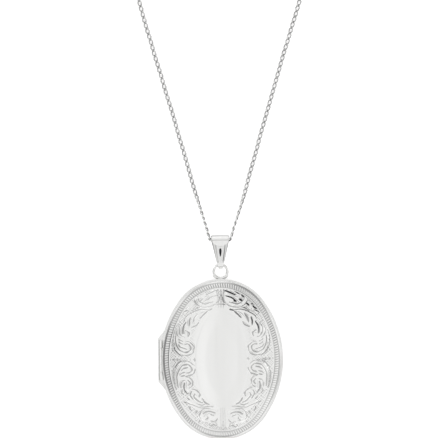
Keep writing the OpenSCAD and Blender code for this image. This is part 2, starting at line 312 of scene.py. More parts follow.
def noise(nodes, links, scale, detail=4.0, stretch=(1, 1, 1)):
    """A noise pattern on the object's own coordinates, with `scale` bumps to the millimetre."""
    coordinates = nodes.new("ShaderNodeTexCoord")
    mapping = nodes.new("ShaderNodeMapping")
    mapping.inputs["Scale"].default_value = [s / MM for s in stretch]
    pattern = nodes.new("ShaderNodeTexNoise")
    pattern.inputs["Scale"].default_value = scale
    pattern.inputs["Detail"].default_value = detail
    links.new(coordinates.outputs["Object"], mapping.inputs["Vector"])
    links.new(mapping.outputs["Vector"], pattern.inputs["Vector"])
    return pattern.outputs["Fac"]


def ramp(nodes, links, factor, stops):
    """Colours along a factor: stops are (position, grey or colour)."""
    made = nodes.new("ShaderNodeValToRGB")
    elements = made.color_ramp.elements
    while len(elements) < len(stops):
        elements.new(0.5)
    for element, (position, colour) in zip(elements, stops):
        element.position = position
        rgb = (colour,) * 3 if isinstance(colour, (int, float)) else colour
        element.color = (*rgb, 1)
    links.new(factor, made.inputs["Fac"])
    return made.outputs["Color"]


def multiply(nodes, links, first, second):
    mix = nodes.new("ShaderNodeMixRGB")
    mix.blend_type = "MULTIPLY"
    mix.inputs["Fac"].default_value = 1
    links.new(first, mix.inputs["Color1"])
    links.new(second, mix.inputs["Color2"])
    return mix.outputs["Color"]


def darkened_where_marked(nodes, links, tone, colour):
    """The tone, turning to the colour as far as the surface is marked dark."""
    marked = nodes.new("ShaderNodeAttribute")
    marked.attribute_name = "darkening"
    mix = nodes.new("ShaderNodeMixRGB")
    mix.inputs["Color2"].default_value = (*colour, 1)
    links.new(marked.outputs["Fac"], mix.inputs["Fac"])
    links.new(tone, mix.inputs["Color1"])
    return mix.outputs["Color"]


def pointing(nodes, links, vector, direction):
    """How far a vector points in the direction, from -1 to 1."""
    made = nodes.new("ShaderNodeVectorMath")
    made.operation = "DOT_PRODUCT"
    made.inputs[1].default_value = direction
    links.new(vector, made.inputs[0])
    return made.outputs["Value"]


def bump(nodes, links, height, strength, distance):
    """Fine relief from a height pattern, with its distance in metres."""
    made = nodes.new("ShaderNodeBump")
    made.inputs["Strength"].default_value = strength
    made.inputs["Distance"].default_value = distance
    links.new(height, made.inputs["Height"])
    return made.outputs["Normal"]


# Near-black for the marked places on silver: tarnish, and painted shade.
TARNISH_AND_SHADE = (0.035, 0.035, 0.038)


def painted_wall_shade(nodes, links, side, stops):
    """Painted shade: what is left of the tone on steep walls, or on those that face the side."""
    normal = nodes.new("ShaderNodeTexCoord").outputs["Normal"]
    level = nodes.new("ShaderNodeMath")
    level.operation = "MAXIMUM" if side else "ABSOLUTE"
    level.inputs[1].default_value = 0
    links.new(pointing(nodes, links, normal, side or (0, 0, 1)), level.inputs[0])
    return ramp(nodes, links, level.outputs["Value"], stops if side else [(0.0, 0.6), (0.6, 1.0)])


def silver(
    name, light=0.86, dark=0.78, smooth_to=0.14, rough_to=0.24, grain=0.01, tarnish_and_shade=False,
    cloud_scale=0.35, cloud_stretch=(1, 1, 1), shaded_side=None, side_shade_stops=((0.72, 1.0), (0.93, 0.35)),
):
    """Silver with faint cloudy tone, wear in its roughness and fine handling scratches.

    Its marked places can be painted dark, for tarnish and painted shade. Otherwise its steep walls, or
    those that face one given side, are painted in shade."""
    material, nodes, links, shader = new_material(name)
    shader.inputs["Metallic"].default_value = 1
    clouds = noise(nodes, links, cloud_scale, 5, cloud_stretch)
    cloudy = [(0.3, (dark, dark, dark * 0.985)), (0.7, (light, light, light * 0.99))]
    tone = ramp(nodes, links, clouds, cloudy)
    if tarnish_and_shade:
        tone = darkened_where_marked(nodes, links, tone, TARNISH_AND_SHADE)
    else:
        tone = multiply(nodes, links, tone, painted_wall_shade(nodes, links, shaded_side, side_shade_stops))
    links.new(tone, shader.inputs["Base Color"])
    wear = ramp(nodes, links, noise(nodes, links, 1.6, 6), [(0.35, smooth_to), (0.7, rough_to)])
    links.new(wear, shader.inputs["Roughness"])
    scratches = noise(nodes, links, 2.5, 3, (1, 9, 1))
    links.new(bump(nodes, links, scratches, grain, 0.02 * MM), shader.inputs["Normal"])
    return material


def clear_sheet():
    """Thin clear acetate: mostly seen through, with a faint haze and a reflection."""
    material, nodes, links, shader = new_material("clear acetate")
    haze = noise(nodes, links, 0.6, 4)
    tone = ramp(nodes, links, haze, [(0.3, (0.93, 0.95, 0.96)), (0.7, 0.98)])
    links.new(tone, shader.inputs["Base Color"])
    links.new(ramp(nodes, links, haze, [(0.4, 0.03), (0.8, 0.12)]), shader.inputs["Roughness"])
    shader.inputs["Alpha"].default_value = 0.16
    return material


def card():
    """Blank card with fine fibres, a little yellowed at its marked edge."""
    material, nodes, links, shader = new_material("blank photo card")
    fibres = noise(nodes, links, 4, 6)
    tone = ramp(nodes, links, fibres, [(0.3, (0.84, 0.81, 0.74)), (0.7, (0.91, 0.89, 0.84))])
    links.new(darkened_where_marked(nodes, links, tone, (0.7, 0.63, 0.5)), shader.inputs["Base Color"])
    shader.inputs["Roughness"].default_value = 0.8
    links.new(bump(nodes, links, fibres, 0.1, 0.01 * MM), shader.inputs["Normal"])
    return material


def opal_table():
    """A pale table, lit a little from below so that the locket's shadow stays faint."""
    material, nodes, links, shader = new_material("white card floor")
    mottle = noise(nodes, links, 0.05, 3)
    links.new(ramp(nodes, links, mottle, [(0.3, 0.93), (0.7, 0.95)]), shader.inputs["Base Color"])
    shader.inputs["Roughness"].default_value = 0.9
    shader.inputs["Specular IOR Level"].default_value = 0.1
    links.new(ramp(nodes, links, mottle, [(0.3, 0.96), (0.7, 1.0)]), shader.inputs["Emission Color"])
    shader.inputs["Emission Strength"].default_value = 0.5
    return material


# Without a side of their own, these silvers are painted in shade on their steep walls.
POLISHED = silver("polished silver")
# Its cloudy tone is stretched into long bands along y, down the cover and the bail: painted reflection
# bands.
ENGRAVED = silver(
    "engraved silver", light=0.91, dark=0.84, smooth_to=0.15, rough_to=0.22, grain=0.004, tarnish_and_shade=True,
    cloud_scale=0.2, cloud_stretch=(1, 0.06, 1),
)
CHAIN_SILVER = silver("chain silver", dark=0.74, rough_to=0.22, tarnish_and_shade=True)
SATIN = silver("satin silver", light=0.78, dark=0.62, smooth_to=0.3, rough_to=0.45, grain=0.08)
# Painted light and shade: the knuckles and cover are painted lighter to brighten the shaded strip by the
# hinge; the knuckles' left flanks and the undersides of the cover and the back are painted in shade.
BARREL = silver("hinge silver", light=0.93, dark=0.88, shaded_side=(-1, 0, 0))
COVER = silver("cover silver", light=0.93, dark=0.88, shaded_side=(0, 0, -1))
BACK = silver("back silver", shaded_side=(0, 0, -1), side_shade_stops=((0.15, 1.0), (0.5, 0.5)))
STEEL = silver("spring steel", light=0.6, dark=0.48, smooth_to=0.22, rough_to=0.35, grain=0.05)
WINDOW = clear_sheet()
PAPER = card()
NOT_POLISHED = (
    (SATIN, ("back_snap_rim", "back_photo_frame", "hinge_bearer", "catch_bead")),
    (SATIN, ("cover_frame_seat", "cover_photo_frame")),
    (STEEL, ("hinge_pin", "clasp_spring", "clasp_bolt")),
    (BARREL, ("hinge_knuckles_back", "hinge_knuckles_cover")),
    (COVER, ("cover_shell",)),
    (BACK, ("back_shell",)),
)


def paint(made, material):
    made.data.materials.clear()
    made.data.materials.append(material)
    return made


def paint_node(node, material):
    """A carried-over CAD node gets a material in its own slots."""
    made = NODES[node]
    for slot in made.material_slots:
        slot.material = material
    if not made.material_slots:
        made.data.materials.append(material)


for node in NODES:
    paint_node(node, POLISHED)
for finish, finished in NOT_POLISHED:
    for node in finished:
        paint_node(node, finish)


# ---------------------------------------------------------------- engraved cover
# All in mm. The case's outline is four arcs: two for its long sides and two for its ends.
SIDE_CENTRE, SIDE_RADIUS = -9.2, 24.2
END_CENTRE, END_RADIUS = 6.9, 12.7
CORNER = math.atan2(END_CENTRE, -SIDE_CENTRE)
# The dome's section: its top, the arc that it follows, and the inset from which it is flat.
CROWN_TOP, CROWN_RADIUS, CROWN_CENTRE, CROWN_INSET = 7.0, 28.772, -21.752, 12
# The insets between which the hatched border lies, and how many teeth it has.
BORDER_FROM, BORDER_TO = 0.46, 2.3
TEETH = 172
PANEL_X, PANEL_Y = 6.3, 11.75
# Heights of the engraving's parts above the dome, and how low a cut may reach.
GROUND, LOWEST = 0.13, 0.02
BODY_HEIGHT, RIDGE_HEIGHT, PANEL_HEIGHT = 0.05, 0.06, 0.05
CUT_DEPTH, DOT_DEPTH = 0.11, 0.035
DOT_PITCH = 0.5
STAR_X = 6.75
# Where a stroke's turned-up lip lies, and how far out it ends, in half widths of the stroke.
LIP_AT, LIP_HALF, LIP_END = 1.55, 0.65, 2.6
# Each stroke: half its width, how strong it is, and the points it follows in a quadrant of the cover. They
# were read by eye off enlarged crops of the photograph, and a helper script turned them into mm.
UPPER_CUTS = [
    (0.15, 0.5, [(4.3, 15.9), (5.7, 15.5), (6.3, 14.5), (5.7, 13.4), (4.3, 12.8), (2.4, 13),
        (1.3, 13.6)]),
    (0.18, 0.6, [(5, 14.2), (4.5, 13.8), (3.8, 13.6), (2.5, 14)]),
    (0.16, 0.8, [(6.9, 2.2), (6.7, 2.8), (7, 3.5), (7.7, 4.1), (8.5, 4.3)]),
    (0.14, 0.7, [(6.8, 2.1), (7.3, 1.4), (8.4, 1), (9.7, 1.1)]),
    (0.17, 1, [(8.9, 3.6), (8.1, 3.6), (7.6, 3.1), (7.6, 2.4), (8.1, 1.9), (9, 1.7), (10, 2.1),
        (10.7, 2.8), (11.1, 3.8), (11.2, 4.8), (11.1, 5.7)]),
    (0.2, 1, [(8.5, 2.4), (9.4, 2.7), (10.1, 3), (10.5, 3.5)]),
    (0.15, 0.9, [(9.4, 3.6), (9.9, 3.8), (10.3, 4.2)]),
    (0.15, 0.9, [(9.4, 4.3), (10, 4.6), (10.3, 4.9)]),
    (0.3, 1, [(11.6, 3), (11.4, 2.3), (10.8, 1.6), (9.9, 0.9)]),
    (0.14, 0.8, [(11.8, 3.1), (11.9, 4.3), (11.9, 5.4), (11.5, 7.1)]),
    (0.18, 0.9, [(8, 5.6), (7.8, 6.2), (8, 6.7), (8.7, 7.1)]),
    (0.18, 0.6, [(8.9, 5.4), (9.6, 5.7), (10.1, 6.3), (10.2, 6.9), (10.1, 7.9), (9.6, 8.9)]),
    (0.24, 1.2, [(8.5, 9.2), (9, 8.4), (9.3, 7.4), (9.3, 6.3)]),
    (0.16, 0.5, [(10.8, 7.7), (11, 6.8), (10.7, 5.9), (10, 5.2)]),
    (0.2, 1, [(7.4, 10.3), (7.7, 9.4), (7.7, 8.4)]),
    (0.22, 0.6, [(5.7, 11.2), (6.5, 10.2), (6.8, 9.1)]),
    (0.15, 0.8, [(5.4, 9.2), (5.9, 8.5), (7.1, 7.9)]),
    (0.2, 1, [(3.3, 11.8), (4.1, 11.1), (5, 10.2)]),
    (0.15, 0.7, [(2.2, 12.4), (3, 12.1), (4.6, 12.3), (6, 12), (7.4, 11.3), (8.3, 10.7), (8.8, 9.9)]),
    (0.13, 0.7, [(5.1, 12.8), (6, 12.5), (6.8, 11.9)]),
    (0.2, 0.8, [(0.9, 16.9), (2.1, 16.4), (3.4, 15.8)]),
    (0.17, 1.1, [(1.1, 17.5), (2, 17.4), (2.7, 17.4), (3.5, 16.9), (4.1, 16.3), (5.1, 16),
        (5.8, 15.5)]),
    (0.18, 0.6, [(1.1, 15.6), (2.4, 15.2), (3, 14.8), (3.7, 14.4)]),
    (0.2, 0.6, [(4.3, 14.8), (4.7, 14.6), (5.1, 14.3)]),
    (0.13, 0.5, [(1.9, 14.1), (2.8, 13.8), (3.9, 13.7), (4.8, 14), (5.4, 14.6), (5.4, 15)]),
    (0.15, 0.8, [(2.8, 18.3), (3.9, 18), (4.7, 17.6), (5.9, 16.9)]),
    (0.15, 0.5, [(7.8, 13.1), (8.3, 12.6), (9, 12.3)]),
    (0.15, 1, [(8.1, 12.1), (8.8, 11.8), (9.6, 11.3)]),
    (0.13, 0.8, [(6.8, 14.7), (7.3, 14.4), (7.6, 14)]),
    (0.13, 0.7, [(0.1, 15.8), (0.3, 14.9), (0.6, 14.3), (1.1, 13.8)]),
    (0.15, 0.8, [(0.1, 13.6), (1, 13.4)]),
]
# The broad bright cuts that only the upper right has, in the cover's own x and y.
RIGHT_CUTS = [
    (0.26, 1.6, [(4.3, 14.8), (4.7, 14.6), (5.1, 14.3)]),
    (0.22, 1.6, [(3, 14.5), (3.6, 14.2)]),
    (0.2, 1.2, [(1.1, 15.6), (2.4, 15.2), (3, 14.8), (3.6, 14.3)]),
    (0.24, 1.3, [(0.9, 16.9), (2.1, 16.4), (3.4, 15.8)]),
    (0.22, 1.5, [(2.8, 17), (3.4, 16.7), (4.2, 16.1)]),
    (0.22, 1.5, [(4.9, 15.8), (5.5, 15.2)]),
    (0.2, 1, [(2.1, 12.3), (3.1, 12)]),
    (0.24, 1.7, [(6.1, 13.8), (6.8, 13.2)]),
    (0.2, 1.6, [(7.3, 13.6), (7.8, 13.5)]),
    (0.22, 1.6, [(7.7, 13.1), (8.2, 12.6), (9, 12.3)]),
    (0.42, 0.75, [(8.6, 9), (9.1, 8.2), (9.3, 7.3), (9.2, 6.3)]),
    (0.26, 1, [(7.4, 10.3), (7.7, 9.4), (7.7, 8.4)]),
    (0.4, 0.6, [(5.9, 11.1), (6.5, 10.2), (6.8, 9.2)]),
]
UPPER_RIDGES = [
    (0.16, 1, [(1.3, 13), (3.5, 12.7), (4.9, 12.7), (6.5, 12.2), (8, 11.4), (9.3, 10.2), (10.4, 8.8),
        (11.3, 7.4), (11.5, 6.1), (11.5, 4.4), (11.2, 3.3)]),
    (0.14, 1, [(7.3, 2.3), (7.3, 3.1), (7.9, 3.9), (8.8, 4)]),
    (0.14, 1, [(7.1, 1.7), (8, 1.4), (9.3, 1.4), (10.4, 2), (11.1, 2.9)]),
    (0.16, 1, [(6.8, 10.7), (7.1, 9.8), (7.3, 8.8), (7.8, 7.8)]),
    (0.16, 1, [(8.4, 8.7), (8.8, 7.4), (8.7, 6.3), (8.3, 6.6)]),
    (0.18, 1, [(4.1, 11.7), (5.1, 11.1), (6, 10), (6.5, 8.8)]),
    (0.16, 1, [(1.1, 16.2), (2.5, 15.7), (3.9, 15.2)]),
    (0.14, 1, [(1.2, 17.1), (2.6, 16.9), (3.7, 16.2), (4.9, 15.5)]),
    (0.15, 1, [(3.9, 14.3), (4.7, 13.6), (5.6, 14), (5.8, 14.9)]),
]
LOWER_CUTS = [
    (0.3, 1, [(9.9, 0.3), (10.8, 0.8), (11.6, 1.8)]),
    (0.14, 0.8, [(7.2, 1.1), (7.8, 0.6), (8.8, 0.3), (9.8, 0.3)]),
    (0.15, 0.9, [(6.7, 2.1), (6.9, 2.7), (7.4, 3.4), (8.2, 3.7), (9.1, 4)]),
    (0.17, 1, [(8.8, 3.1), (8, 2.9), (7.5, 2.3), (7.8, 1.5), (8.5, 1.1), (9.6, 1.3), (10.4, 2), (11, 3),
        (11.3, 4.1), (11.2, 5.5), (11.1, 6.8)]),
    (0.17, 1, [(8.5, 1.8), (9.4, 2), (10.1, 2.5)]),
    (0.14, 0.9, [(9.2, 2.9), (9.9, 3.1), (10.5, 3.6)]),
    (0.15, 1, [(9.3, 3.7), (10.2, 3.9)]),
    (0.14, 0.8, [(11.8, 2.2), (12.1, 3.2), (12.1, 4.2), (12, 5.6), (11.6, 7.3)]),
    (0.14, 0.8, [(9, 4.1), (8.2, 4.3), (7.6, 4.9), (7.5, 5.6), (7.8, 6.5), (8.5, 7)]),
    (0.17, 1, [(8.6, 4.9), (8.2, 5.3), (8.1, 5.8), (8.6, 6.2)]),
    (0.14, 0.8, [(9.3, 4.9), (10, 5.2), (10.4, 5.9), (10.4, 6.9)]),
    (0.27, 1.2, [(9.5, 5.6), (9.7, 6.6), (9.5, 7.5), (8.9, 8.4)]),
    (0.15, 0.8, [(10.1, 7.2), (10.3, 8), (9.8, 8.7)]),
    (0.19, 1, [(6.1, 9.2), (5.9, 8.6), (6.2, 7.9), (6.8, 7.4), (7.6, 7.2)]),
    (0.18, 1, [(7.9, 7.7), (8.3, 8.6), (8, 9.2), (7.6, 9.8)]),
    (0.2, 1, [(7.1, 8.4), (7.4, 9), (6.8, 9.8), (6, 10.5), (5.3, 10.8)]),
    (0.22, 1.2, [(5.3, 9.7), (4.9, 10.4), (4.4, 10.9), (3.8, 11.2)]),
    (0.12, 0.8, [(4.7, 11.1), (5.5, 11.4), (6.6, 11.1)]),
    (0.12, 0.8, [(3.5, 12.3), (4.7, 12.3), (6, 12.1), (7.4, 11.5), (8.5, 11.1), (9.7, 10.5)]),
    (0.12, 0.7, [(2.7, 11.8), (3.9, 11.7), (5, 11.9), (6, 11.8)]),
    (0.22, 1.1, [(2.3, 13.5), (3.4, 13.2), (4.5, 13.2), (5.3, 13.7)]),
    (0.13, 0.8, [(2.6, 14.2), (3.6, 13.9)]),
    (0.16, 0.9, [(4.2, 14.4), (4.3, 14.9), (4.8, 15.3)]),
    (0.14, 0.8, [(5, 12.3), (5.8, 13), (6.3, 14), (6.2, 14.6), (5.8, 15.1)]),
    (0.14, 0.8, [(1.6, 15), (2.5, 15.7), (3.5, 15.6)]),
    (0.14, 0.8, [(1.9, 16.8), (2.7, 16.5), (3.7, 16.8), (4, 16.2)]),
    (0.15, 0.8, [(6.2, 15.4), (6.5, 16.3), (6, 17)]),
    (0.15, 0.8, [(7.1, 15.4), (7.9, 16.5)]),
    (0.13, 0.8, [(6.7, 12.9), (7.2, 13.6)]),
    (0.15, 1.1, [(8.4, 11.8), (8.5, 12.3), (8.1, 12.9)]),
    (0.13, 1, [(9, 10.9), (9.9, 10.6)]),
    (0.13, 0.9, [(9, 9.5), (8.4, 10)]),
]
LOWER_RIDGES = [
    (0.16, 1, [(6.8, 1.4), (7.8, 0.8), (8.9, 0.7), (10.1, 0.9), (10.9, 1.7), (11.6, 2.8), (11.7, 4.1),
        (11.7, 5.6), (11.3, 7.3), (10.4, 8.7), (9.3, 10), (7.9, 10.9), (6.3, 11.5), (4.5, 11.6),
        (2.6, 11.5)]),
    (0.14, 1, [(7.1, 2.2), (7.4, 2.9), (8.2, 3.4), (9, 3.5)]),
    (0.14, 1, [(7.8, 4.9), (7.8, 5.8), (8.3, 6.6), (9, 6.7)]),
    (0.15, 1, [(8.9, 5.3), (9, 6.2), (8.9, 7.1), (8.4, 8)]),
    (0.16, 1, [(6.5, 9), (6.8, 8.1), (7.5, 7.7), (7.8, 8.5), (7.8, 9.2), (7.1, 10)]),
    (0.18, 1, [(2.2, 14), (3, 13.7), (4, 13.6), (4.7, 14.1), (5.1, 14.7), (4.7, 14.9)]),
    (0.16, 1, [(2.8, 12.5), (4.2, 12.6), (5.4, 13), (5.9, 13.9), (5.8, 14.8), (5.3, 15.4),
        (4.2, 15.7)]),
    (0.13, 1, [(2.2, 15.2), (3, 16.1), (4, 15.8)]),
]
# The scrolls' raised bodies: centre, half lengths along their own axes, and their slant in degrees.
UPPER_BODIES = [
    (8.4, 2.75, 2.1, 1.9, 0), (9, 6.4, 1.9, 2.2, 0), (10.4, 4.6, 1.3, 3.4, 0), (7.3, 9.3, 1.7, 2.2, 25),
    (4.9, 11.6, 2.9, 1.3, -35), (3.4, 15.1, 2.9, 2.1, -12), (8.1, 12.9, 2.4, 0.8, -40),
    (1.2, 14.5, 0.9, 1.4, 0),
]
LOWER_BODIES = [
    (8.6, 2.2, 2.1, 1.8, 0), (9.1, 5.8, 1.8, 1.9, 0), (10.6, 4.4, 1.2, 3.6, 0), (7, 8.9, 1.6, 2.1, 25),
    (4.9, 10.6, 2.6, 1.2, -38), (3.8, 14.3, 2.6, 1.9, 10), (6.6, 11.9, 3, 0.7, -35),
    (1, 14.8, 0.9, 2.6, 0),
]
# Corrections to where the strokes were drawn, x and y, at these heights on the cover's two sides. They come
# from a helper script that matched a render to the photograph, region by region.
MOVED_Y = [-14, -9, -3, 4, 9.5, 14.5]
MOVED_RIGHT = [(-0.35, 0.5), (-0.45, 0.45), (-0.35, 0.25), (-0.25, 0.2), (-0.2, 0.05), (0.1, -0.05)]
MOVED_LEFT = [(0.65, 0.8), (0.5, 0.3), (0.25, 0), (0, 0.35), (-0.1, 0), (-0.1, 0.05)]


def inset(x, y):
    """Distance inward from the case's outline, in mm."""
    x, y = np.abs(x), np.abs(y)
    at_end = (y - END_CENTRE) * math.cos(CORNER) > x * math.sin(CORNER)
    end = END_RADIUS - np.hypot(x, y - END_CENTRE)
    side = SIDE_RADIUS - np.hypot(x - SIDE_CENTRE, y)
    return np.where(at_end, end, side)


def crown(d):
    """Height of the cover's dome where the inset is d."""
    from_flat = CROWN_INSET - np.minimum(d, CROWN_INSET)
    height = CROWN_CENTRE + np.sqrt(CROWN_RADIUS ** 2 - from_flat ** 2)
    return np.minimum(height, CROWN_TOP)


def outline(angle, d):
    """The point of the inset line d whose outward normal has this angle."""
    c, s = np.cos(angle), np.sin(angle)
    at_end = np.abs(s) > math.sin(CORNER)
    radius = np.where(at_end, END_RADIUS - d, SIDE_RADIUS - d)
    x = np.where(at_end, 0, np.sign(c) * SIDE_CENTRE) + radius * c
    y = np.where(at_end, np.sign(s) * END_CENTRE, 0) + radius * s
    return x, y


def even_angles(count):
    """Normal angles that space points evenly along the outline, all the way round from the +x end."""
    fine = np.linspace(0, 2 * math.pi, 7201)
    x, y = outline(fine, 1.5)
    length = np.concatenate([[0], np.cumsum(np.hypot(np.diff(x), np.diff(y)))])
    return np.interp(np.arange(count) / count * length[-1], length, fine)


def stroke_field(x, y, strokes):
    """How strongly the strokes mark each point, and the lips of metal that they turn up beside them."""
    marked, lips = np.zeros(x.shape), np.zeros(x.shape)
    for half_width, strength, points in strokes:
        line = curve_through(points, 5)
        reach = LIP_END * half_width
        near = (x > line[:, 0].min() - reach) & (x < line[:, 0].max() + reach)
        near &= (y > line[:, 1].min() - reach) & (y < line[:, 1].max() + reach)
        if not near.any():
            continue
        px, py = x[near], y[near]
        best = np.full(px.shape, 9.0)
        for i in range(len(line) - 1):
            a, step = line[i], line[i + 1] - line[i]
            t = np.clip(((px - a[0]) * step[0] + (py - a[1]) * step[1]) / (step @ step), 0, 1)
            along = (i + t) / (len(line) - 1)
            swell = np.sqrt(np.sin(math.pi * (0.04 + 0.92 * along)))
            away = np.hypot(px - a[0] - t * step[0], py - a[1] - t * step[1])
            best = np.minimum(best, away / (half_width * (0.25 + 0.75 * swell)))
        marked[near] = np.maximum(marked[near], strength * np.clip(1 - best ** 2, 0, 1))
        lips[near] = np.maximum(lips[near], hump(best, LIP_AT, LIP_HALF))
    return marked, lips * (1 - np.clip(marked, 0, 1))


def body_field(x, y, bodies):
    """1 inside the scrolls' raised bodies, falling to 0 at their edges."""
    inside = np.zeros(x.shape)
    for cx, cy, half_x, half_y, slant in bodies:
        c, s = math.cos(math.radians(slant)), math.sin(math.radians(slant))
        u, v = (x - cx) * c + (y - cy) * s, (y - cy) * c - (x - cx) * s
        inside = np.maximum(inside, rise(1 - np.hypot(u / half_x, v / half_y), -0.03, 0.14))
    return inside


def stipple(x, y):
    """Punched dots of the ground, on a slightly uneven grid turned with the scrolls."""
    diagonal = DOT_PITCH * 1.414
    u = (x + y) / diagonal + 0.25 * np.sin(3.1 * y + 1.3 * x)
    v = (x - y) / diagonal + 0.25 * np.sin(2.7 * x - 1.9 * y)
    return np.clip(np.cos(2 * math.pi * u) * 0.5 + np.cos(2 * math.pi * v) * 0.5, -0.2, 1)


def half_marks(x, y, cuts, ridges, bodies):
    """The scrolls' bodies, cuts and ridges in one half of the cover, for x and y from its middle."""
    body = body_field(x, y, bodies)
    cut, lips = stroke_field(x, y, cuts)
    ridge = stroke_field(x, y, ridges)[0]
    return body, cut, np.maximum(ridge, 0.75 * lips)


def axis_marks(x, y, upper):
    """The columns on the cover's long axis, and the ribs and small stars on its short one."""
    lobe = np.where(upper, rise(y, 12.3, 13.2), rise(y, 11.7, 12.4)) * (1 - rise(y, 18, 18.9))
    wide = 0.95 - 0.3 * rise(np.abs(y - 15.5), 0.5, 2.5)
    flutes = 0.5 + 0.5 * np.cos(2 * math.pi * x / 0.62)
    columns = lobe * (1 - rise(x, wide, wide + 0.12)) * flutes
    ribs = rise(x, 9.9, 10.4) * (1 - rise(x, 12.2, 12.5)) * (1 - rise(y, 0.1, 0.34))
    rays = np.abs(np.cos(2 * np.arctan2(y, x - STAR_X))) ** 3
    stars = np.sqrt(np.clip(1 - np.hypot(x - STAR_X, y) / (0.2 + 0.28 * rays), 0, 1))
    return columns, ribs, stars


def as_drawn(x, y):
    """The place in the drawn pattern of each point on the cover, before the corrections to the drawing."""
    right = rise(x, -3, 3)
    moved = []
    for k in range(2):
        on_right = np.interp(y, MOVED_Y, [move[k] for move in MOVED_RIGHT])
        on_left = np.interp(y, MOVED_Y, [move[k] for move in MOVED_LEFT])
        moved.append(right * on_right + (1 - right) * on_left)
    return x - moved[0], y - moved[1]


def relief(x, y):
    """Height of the engraving above the dome at points in mm, and how dark each one is painted: tarnish in
    the cuts and punched dots, darker in the upper half, towards the upper right and on the left.
    """
    field = rise(inset(x, y), 2.25, 2.6)
    to_panel = np.hypot(x / PANEL_X, y / PANEL_Y)
    panel = 1 - rise(to_panel, 0.985, 1.03)
    x, y = as_drawn(x, y)
    ax, ay = np.abs(x), np.abs(y)
    upper = y > 0
    body, cut, ridge = (np.zeros(x.shape) for _ in range(3))
    for end, cuts, ridges, bodies in (
        (upper, UPPER_CUTS, UPPER_RIDGES, UPPER_BODIES),
        (~upper, LOWER_CUTS, LOWER_RIDGES, LOWER_BODIES),
    ):
        body[end], cut[end], ridge[end] = half_marks(ax[end], ay[end], cuts, ridges, bodies)
    cut = np.maximum(cut, stroke_field(x, y, RIGHT_CUTS)[0])
    columns, ribs, stars = axis_marks(ax, ay, upper)
    cut = np.maximum.reduce([cut * field, 0.5 * ribs, 0.35 * columns * field, 0.9 * stars])
    ground = (1 - body) * field * (1 - panel) * rise(to_panel, 1.1, 1.3)
    dots = stipple(ax, ay)
    height = GROUND + BODY_HEIGHT * np.maximum(body, columns) * field + RIDGE_HEIGHT * ridge * field
    height += PANEL_HEIGHT * panel - CUT_DEPTH * cut - DOT_DEPTH * ground * dots
    darker_right = rise(0.45 * x + 0.9 * y, 8, 14) * rise(x, -1, 1)
    darker_left = 1 - rise(x, -12, -6)
    dark = 0.4 + 0.07 * upper + 0.75 * darker_right + 0.2 * darker_left
    darkening = np.clip(dark * cut + 0.36 * ground * np.clip(dots, 0, 1), 0, 1)
    return np.maximum(height, LOWEST), darkening


def border_relief(turn, d):
    """Height of the border, a plain bevel and radial teeth between two thin lines, and how dark it is
    painted: dark between the teeth, with painted shade on the slope inside them, at the outer edge and in
    the line on each side of the teeth; all but the outer edge darker towards the hinge.
    """
    bevel = LOWEST + (GROUND - LOWEST) * rise(d, BORDER_FROM, 0.62)
    band = rise(d, 1.0, 1.08) * (1 - rise(d, 1.92, 2.02))
    tooth = np.abs(np.sin(math.pi * (TEETH * turn + 0.35 * (d - 1.5))))
    raised = hump(d, 2.14, 0.09) + 0.7 * hump(d, 0.9, 0.08)
    height = bevel + band * (0.11 * np.sqrt(tooth) - 0.06) + 0.05 * raised
    at_hinge = rise(-np.cos(2 * math.pi * turn), 0.8, 0.97)
    darkening = band * np.clip(1 - 1.6 * tooth, 0, 1) * (0.34 + 0.66 * at_hinge)
    darkening += 0.08 * rise(d, 1.5, 1.8) * (1 - rise(d, 2.15, 2.3))
    darkening += (0.5 - 0.3 * at_hinge) * (1 - rise(d, 0.48, 0.54)) + 0.1 * (1 - rise(d, 0.9, 1.0))
    darkening += (0.35 + 0.5 * at_hinge) * hump(d, 2.02, 0.1)
    darkening += (0.5 + 0.4 * at_hinge) * hump(d, 0.97, 0.1)
    return np.maximum(height, LOWEST), np.clip(darkening, 0, 1)


def skin(name, x, y, height, darkening, to_middle=False):
    """A sheet of the cover's face from rings of points, riding just above the CAD dome.

    to_middle closes it with a fan of triangles from its last ring."""
    z = crown(inset(x, y)) + height
    points = np.stack([x, y, z], -1).reshape(-1, 3)
    darkening = np.ravel(darkening)
    faces = grid_faces(*x.shape)
    if to_middle:
        faces += fan_faces(*x.shape, len(points))
        points = np.vstack([points, [0, 0, z[-1].mean()]])
        darkening = np.append(darkening, 0)
    made = add_mesh(name, points * MM, faces, body="cover")
    mark_darkening(made, darkening)
    return paint(made, ENGRAVED)


def make_cover():
    """The border, two rings of scrolls and the plain panel, in rings of points from the edge inwards."""
    angles = even_angles(1720)
    turn = np.arange(len(angles)) / len(angles)
    bevel, line, teeth = [BORDER_FROM, 0.5, 0.56], np.linspace(0.62, 0.98, 6), np.linspace(1.0, 2.32, 24)
    d, turns = np.meshgrid(np.concatenate([bevel, line, teeth]), turn, indexing="ij")
    x, y = outline(np.broadcast_to(angles, d.shape), d)
    skin("cover_border", x, y, *border_relief(turns, d))

    angles = even_angles(1360)
    outer = np.stack(outline(angles, BORDER_TO))
    spread = np.hypot(PANEL_X * np.cos(angles), PANEL_Y * np.sin(angles))
    inner = np.stack([PANEL_X ** 2 * np.cos(angles), PANEL_Y ** 2 * np.sin(angles)]) / spread
    shares = np.linspace(0, 1, 134)
    middle = len(shares) // 2
    for name, part in (("cover_scrolls", shares[:middle + 1]), ("cover_scrolls_inner", shares[middle:])):
        x, y = outer[:, None, :] * (1 - part[None, :, None]) + inner[:, None, :] * part[None, :, None]
        skin(name, x, y, *relief(x, y))

    shares = np.linspace(1, 0.03, 33)
    x, y = inner[:, None, ::4] * shares[None, :, None]
    skin("cover_panel", x, y, *relief(x, y), to_middle=True)


